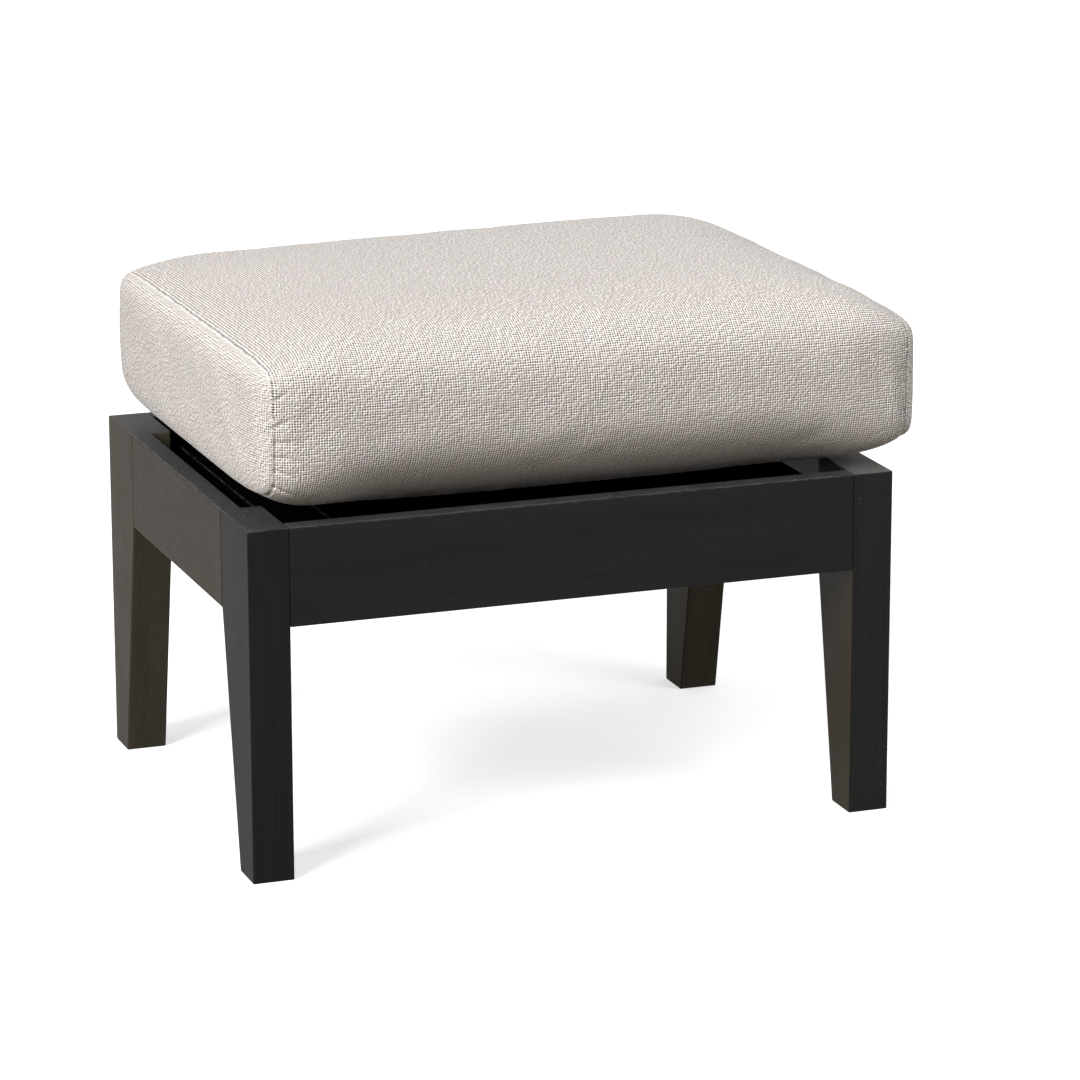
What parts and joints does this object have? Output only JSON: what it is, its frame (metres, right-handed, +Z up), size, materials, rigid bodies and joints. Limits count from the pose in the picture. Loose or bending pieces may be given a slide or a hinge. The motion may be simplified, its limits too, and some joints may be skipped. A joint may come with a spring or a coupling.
{
  "type": "outdoor ottoman footstool",
  "caption": "Outdoor ottoman footstool: a dark stained wooden frame with tapered legs and a slatted deck carries a loose box cushion in a light woven cover with a zip.",
  "frame": {"origin": "on the floor under the middle of the bounding box of the frame and its loose cushion; the wooden frame's own middle is 12.15 mm to the left of it and 1.75 mm in front, because the cushion lies 15 mm to the right, as in the picture", "axes": "+Z up, +X to the right along the wide front apron, +Y from the front towards the back, where the zip is"},
  "size_m": [0.6332, 0.5134, 0.5006],
  "materials": {
    "stained_wood": "satin",
    "dowel_wood": "matte",
    "zinc_steel": "satin",
    "brass": "satin",
    "cover_cloth": "matte",
    "foam": "matte",
    "zip_cloth": "matte",
    "zip_metal": "satin"
  },
  "bodies": {
    "frame": {"leg_front_left": "stained_wood", "leg_front_right": "stained_wood", "leg_back_left": "stained_wood", "leg_back_right": "stained_wood", "apron_front": "stained_wood", "apron_back": "stained_wood", "apron_left": "stained_wood", "apron_right": "stained_wood", "slat_rail_front": "stained_wood", "slat_rail_back": "stained_wood", "seat_slat_1": "stained_wood", "seat_slat_2": "stained_wood", "seat_slat_3": "stained_wood", "seat_slat_4": "stained_wood", "seat_slat_5": "stained_wood", "seat_slat_6": "stained_wood", "seat_slat_7": "stained_wood", "seat_slat_8": "stained_wood", "seat_slat_9": "stained_wood", "seat_slat_10": "stained_wood", "corner_block_front_left": "stained_wood", "corner_block_front_right": "stained_wood", "corner_block_back_left": "stained_wood", "corner_block_back_right": "stained_wood", "block_bolt_front_left": "zinc_steel", "block_bolt_front_right": "zinc_steel", "block_bolt_back_left": "zinc_steel", "block_bolt_back_right": "zinc_steel", "leg_insert_front_left": "brass", "leg_insert_front_right": "brass", "leg_insert_back_left": "brass", "leg_insert_back_right": "brass", "block_screw_front_left": "zinc_steel", "block_screw_front_right": "zinc_steel", "block_screw_back_left": "zinc_steel", "block_screw_back_right": "zinc_steel", "dowel_front_left_upper": "dowel_wood", "dowel_front_left_lower": "dowel_wood", "dowel_front_right_upper": "dowel_wood", "dowel_front_right_lower": "dowel_wood", "dowel_back_left_upper": "dowel_wood", "dowel_back_left_lower": "dowel_wood", "dowel_back_right_upper": "dowel_wood", "dowel_back_right_lower": "dowel_wood", "slat_screw_front_left": "zinc_steel", "slat_screw_front_right": "zinc_steel", "slat_screw_back_left": "zinc_steel", "slat_screw_back_right": "zinc_steel", "rail_screw_front_left": "zinc_steel", "rail_screw_front_right": "zinc_steel", "rail_screw_back_left": "zinc_steel", "rail_screw_back_right": "zinc_steel"},
    "cushion": {"cushion_foam": "foam", "cushion_wrap_panel": "cover_cloth", "cushion_end_panel_left": "cover_cloth", "cushion_end_panel_right": "cover_cloth", "zip_tape": "zip_cloth"},
    "zip_slider": {"zip_slider": "zip_metal"},
    "zip_pull": {"zip_pull": "zip_metal"}
  },
  "joints": [
    {"name": "cushion_lift", "type": "slide", "parent": "frame", "child": "cushion", "axis": [0, 0, 1], "range_m": [0, 0.3]},
    {"name": "zip_slide", "type": "slide", "parent": "cushion", "child": "zip_slider", "axis": [1, 0, 0], "range_m": [0, 0.355]},
    {"name": "zip_pull_turn", "type": "hinge", "parent": "zip_slider", "child": "zip_pull", "pos_m": [-0.1636, 0.25375, 0.4045], "axis": [0, 0, -1], "range_deg": [0, 175]}
  ]
}
